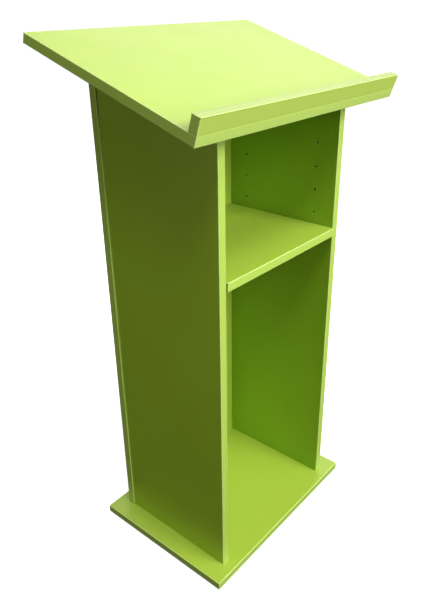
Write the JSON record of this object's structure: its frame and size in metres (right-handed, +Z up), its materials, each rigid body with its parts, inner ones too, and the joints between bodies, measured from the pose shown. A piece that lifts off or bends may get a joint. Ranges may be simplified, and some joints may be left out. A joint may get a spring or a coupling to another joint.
{
  "type": "presentation lectern",
  "caption": "Free-standing board lectern with a sloping top, a book stop, an open column with a loose adjustable shelf, and a flat base plate.",
  "frame": {"origin": "on the floor, under the centre of the base plate", "axes": "+Z up; -Y is the presenter's open side and +Y faces the audience; +X is the presenter's right"},
  "size_m": [0.6, 0.3939, 1.1011],
  "materials": {
    "lime_board": "lime green melamine facing on particle board, satin with a fine pearl texture",
    "abs_edging": "lime green ABS strip, satin",
    "zinc_steel": "bright zinc plate",
    "block_plastic": "moulded nylon, off-white",
    "glide_plastic": "moulded polyethylene, black",
    "beech": "plain beech"
  },
  "bodies": {
    "lectern": {"base_plate": "lime_board", "base_plate_edging_front": "abs_edging", "base_plate_edging_back": "abs_edging", "base_plate_edging_left": "abs_edging", "base_plate_edging_right": "abs_edging", "left_side_panel": "lime_board", "left_side_panel_edging_front": "abs_edging", "right_side_panel": "lime_board", "right_side_panel_edging_front": "abs_edging", "audience_panel": "lime_board", "audience_panel_edging_left": "abs_edging", "audience_panel_edging_right": "abs_edging", "top_board": "lime_board", "top_board_edging_front": "abs_edging", "top_board_edging_back": "abs_edging", "top_board_edging_left": "abs_edging", "top_board_edging_right": "abs_edging", "book_stop": "lime_board", "book_stop_edging_top": "abs_edging", "book_stop_edging_left": "abs_edging", "book_stop_edging_right": "abs_edging", "base_screws": "zinc_steel", "audience_panel_dowels": "beech", "corner_block_screws": "zinc_steel", "book_stop_screws": "zinc_steel", "glides": "glide_plastic", "glide_nails": "zinc_steel", "corner_block_left_front": "block_plastic", "corner_block_left_back": "block_plastic", "corner_block_right_front": "block_plastic", "corner_block_right_back": "block_plastic"},
    "shelf": {"shelf": "lime_board", "shelf_edging_front": "abs_edging", "shelf_edging_back": "abs_edging", "shelf_edging_left": "abs_edging", "shelf_edging_right": "abs_edging"},
    "support_left_front": {"shelf_support_left_front": "zinc_steel"},
    "support_left_back": {"shelf_support_left_back": "zinc_steel"},
    "support_right_front": {"shelf_support_right_front": "zinc_steel"},
    "support_right_back": {"shelf_support_right_back": "zinc_steel"}
  },
  "joints": [
    {"name": "shelf_pull", "type": "slide", "parent": "lectern", "child": "shelf", "axis": [0, -1, 0], "range_m": [0, 0.3]},
    {"name": "support_left_front_pull", "type": "slide", "parent": "lectern", "child": "support_left_front", "axis": [1, 0, 0], "range_m": [0, 0.01]},
    {"name": "support_left_back_pull", "type": "slide", "parent": "lectern", "child": "support_left_back", "axis": [1, 0, 0], "range_m": [0, 0.01]},
    {"name": "support_right_front_pull", "type": "slide", "parent": "lectern", "child": "support_right_front", "axis": [-1, 0, 0], "range_m": [0, 0.01]},
    {"name": "support_right_back_pull", "type": "slide", "parent": "lectern", "child": "support_right_back", "axis": [-1, 0, 0], "range_m": [0, 0.01]}
  ]
}
